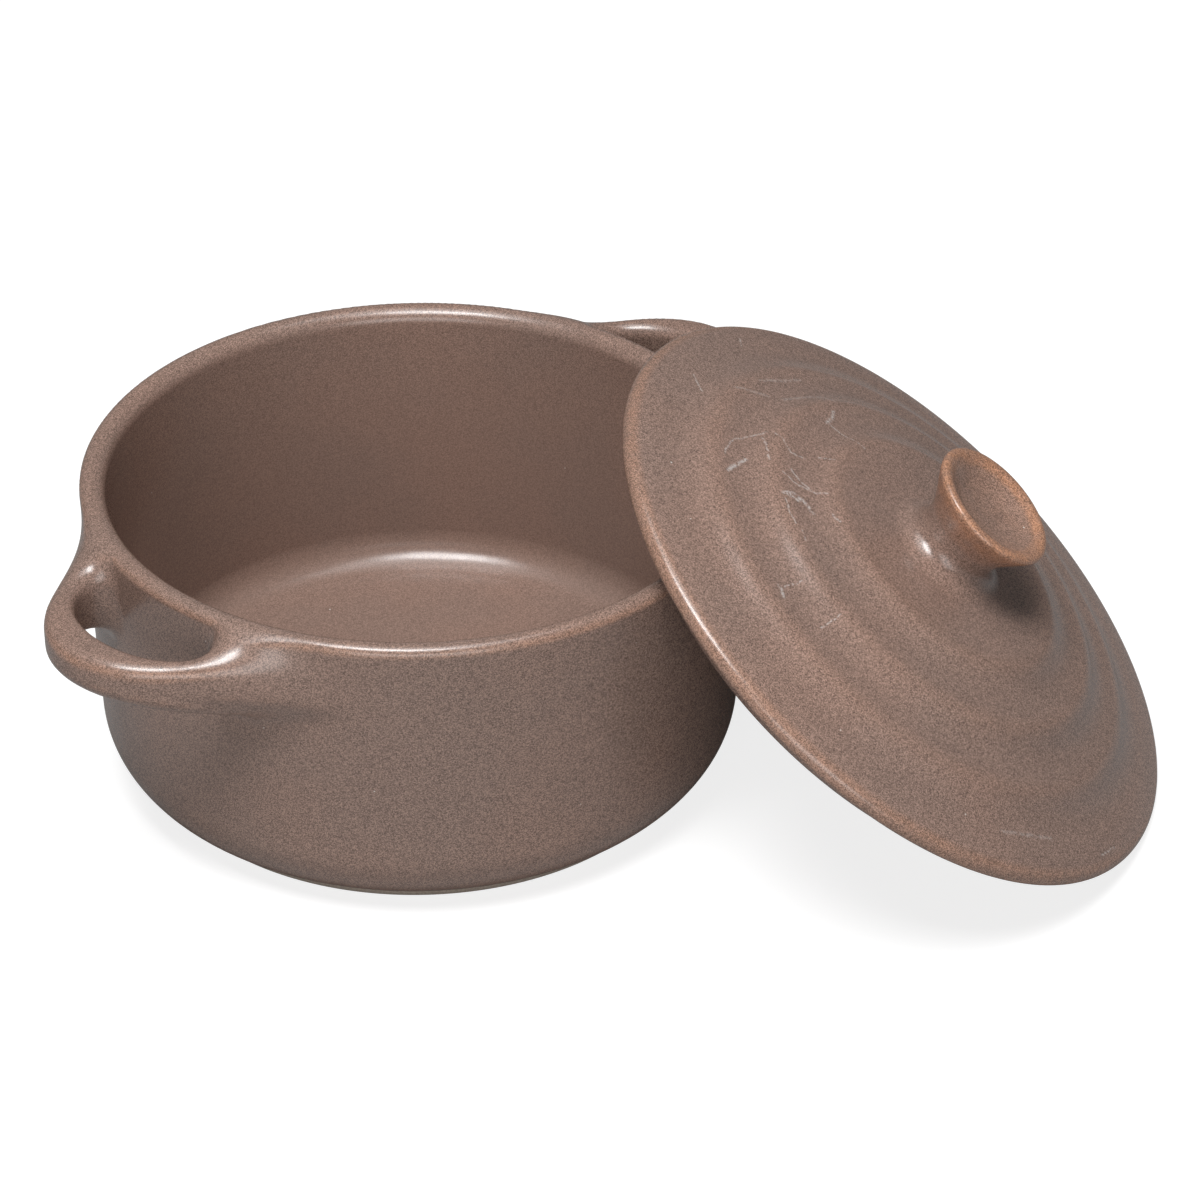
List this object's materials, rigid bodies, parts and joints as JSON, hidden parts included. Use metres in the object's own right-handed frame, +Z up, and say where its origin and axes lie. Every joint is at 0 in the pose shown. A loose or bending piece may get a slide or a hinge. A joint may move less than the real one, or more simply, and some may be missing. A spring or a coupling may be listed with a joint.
{
  "type": "casserole dish",
  "caption": "Small round casserole dish in matt brown stoneware with opposed loop handles, and its loose stepped lid with a flared knob, leaning on the rim.",
  "frame": {"origin": "centre of the dish's foot ring, on the surface that it stands on", "axes": "+Z up along the dish's axis, +X out through the handle beside the lid; the lid leans on the -Y side"},
  "size_m": [0.1653, 0.1595, 0.0677],
  "materials": {
    "dish_glaze": "matt speckled brown glaze, paler orange brown where it breaks at the rim",
    "handle_glaze": "matt speckled brown glaze, paler orange brown along the edges",
    "lid_glaze": "matt speckled brown glaze, paler orange brown on the outer edge",
    "knob_glaze": "matt speckled brown glaze, paler orange brown round the rim"
  },
  "bodies": {
    "dish": {"dish_body": "dish_glaze", "handle_left": "handle_glaze", "handle_right": "handle_glaze"},
    "lid": {"lid_shell": "lid_glaze", "lid_knob": "knob_glaze"}
  },
  "joints": [
    {"name": "lid_lift", "type": "slide", "parent": "dish", "child": "lid", "axis": [0, 0, 1], "range_m": [0, 0.06]}
  ]
}
